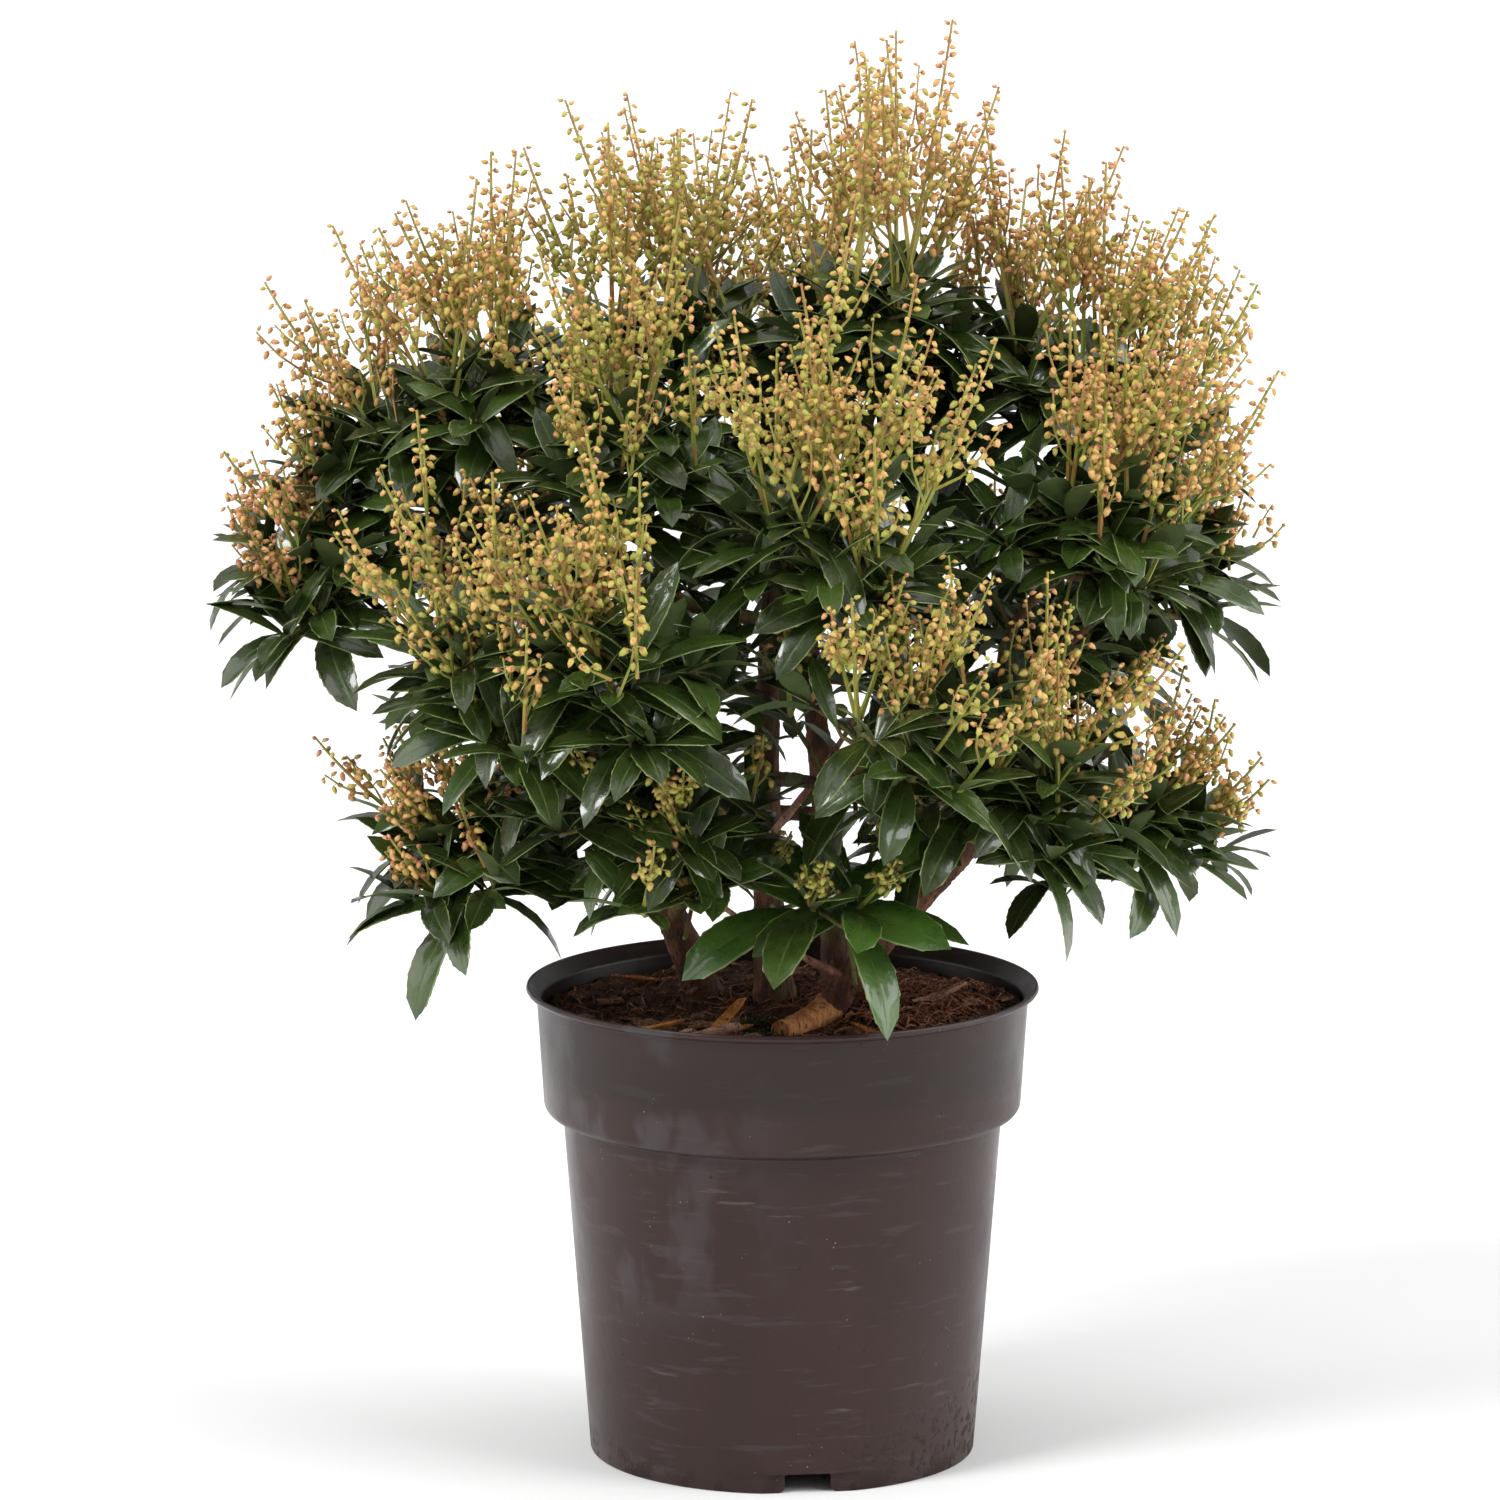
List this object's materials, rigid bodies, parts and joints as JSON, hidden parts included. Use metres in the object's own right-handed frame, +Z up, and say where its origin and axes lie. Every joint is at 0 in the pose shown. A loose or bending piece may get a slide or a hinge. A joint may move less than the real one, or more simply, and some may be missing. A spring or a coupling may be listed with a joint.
{
  "type": "potted pieris shrub",
  "caption": "Compact evergreen shrub in full bud, with whorls of toothed glossy leaves and upright spikes of unopened flowers, standing in a round plastic nursery pot filled with compost",
  "frame": {"origin": "centre of the pot's flat underside, on the pot's axis", "axes": "+Z up along the pot's axis; -Y is the front, with one foot notch just right of it"},
  "size_m": [0.398, 0.3662, 0.5379],
  "materials": {
    "pot": "satin dark taupe plastic, scuffed and dusty",
    "compost": "moist fibrous brown compost",
    "bark": "rough thin brown bark",
    "foliage": "glossy dark green leaves with golden green buds"
  },
  "bodies": {
    "root": {"bough_back_centre": "bark", "bough_back_crown": "bark", "bough_back_left": "bark", "bough_back_low_left": "bark", "bough_back_low_right": "bark", "bough_back_right": "bark", "bough_crown_centre": "bark", "bough_crown_centre_left": "bark", "bough_crown_left": "bark", "bough_crown_right": "bark", "bough_crown_shoulder": "bark", "bough_foot_front": "bark", "bough_front_left": "bark", "bough_front_low_left": "bark", "bough_front_right": "bark", "bough_front_upper": "bark", "bough_front_upper_left": "bark", "bough_left_far": "bark", "bough_left_front": "bark", "bough_left_low": "bark", "bough_left_top": "bark", "bough_right_far": "bark", "bough_right_front": "bark", "bough_right_low": "bark", "bough_right_upper": "bark", "compost": "compost", "cut_stub": "bark", "dead_twig_high": "bark", "dead_twig_low": "bark", "foliage_back_centre": "foliage", "foliage_back_crown": "foliage", "foliage_back_left": "foliage", "foliage_back_low_left": "foliage", "foliage_back_low_right": "foliage", "foliage_back_right": "foliage", "foliage_crown_centre": "foliage", "foliage_crown_centre_left": "foliage", "foliage_crown_left": "foliage", "foliage_crown_right": "foliage", "foliage_crown_shoulder": "foliage", "foliage_foot_front": "foliage", "foliage_front_left": "foliage", "foliage_front_low_left": "foliage", "foliage_front_right": "foliage", "foliage_front_upper": "foliage", "foliage_front_upper_left": "foliage", "foliage_left_far": "foliage", "foliage_left_front": "foliage", "foliage_left_low": "foliage", "foliage_left_top": "foliage", "foliage_right_far": "foliage", "foliage_right_front": "foliage", "foliage_right_low": "foliage", "foliage_right_upper": "foliage", "pot": "pot", "stem_back": "bark", "stem_centre": "bark", "stem_left": "bark", "stem_right": "bark"}
  },
  "joints": []
}
